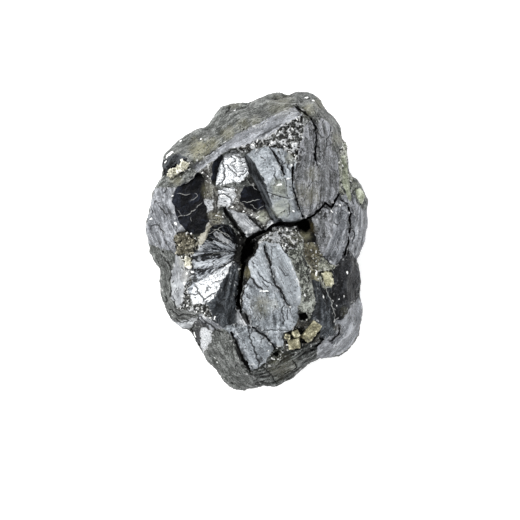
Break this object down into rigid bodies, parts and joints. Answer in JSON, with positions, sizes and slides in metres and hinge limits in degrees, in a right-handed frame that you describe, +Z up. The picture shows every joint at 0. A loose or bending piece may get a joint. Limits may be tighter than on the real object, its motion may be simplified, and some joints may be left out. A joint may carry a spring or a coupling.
{
  "type": "molybdenum ore specimen",
  "caption": "Hand-sized lump of lead-grey molybdenum ore with flat cleavage faces, open cracks and brassy pyrite crystals, lying on its flat underside.",
  "frame": {"origin": "centre of the bounding box, on the plane of the flat underside that the stone rests on", "axes": "+Y along the stone's long side towards its broad back slab, +X to the right, +Z up towards the broken display side"},
  "size_m": [0.0448, 0.06, 0.0298],
  "materials": {
    "stone": "lead-grey metallic ore, partly mirror-bright, partly dull",
    "pyrite": "brassy metallic crystal faces",
    "cream": "pale glossy crystal",
    "olive": "olive-green glossy crystal"
  },
  "bodies": {
    "root": {"ore_body": "stone", "pyrite_large": "pyrite", "pyrite_middle": "pyrite", "pyrite_small": "pyrite", "pyrite_tiny": "pyrite", "pyrite_cluster": "pyrite", "nook_pyrite": "cream", "cream_crystal": "cream", "yellow_crystal": "cream", "olive_crystal": "olive", "green_crystal": "olive"}
  },
  "joints": []
}
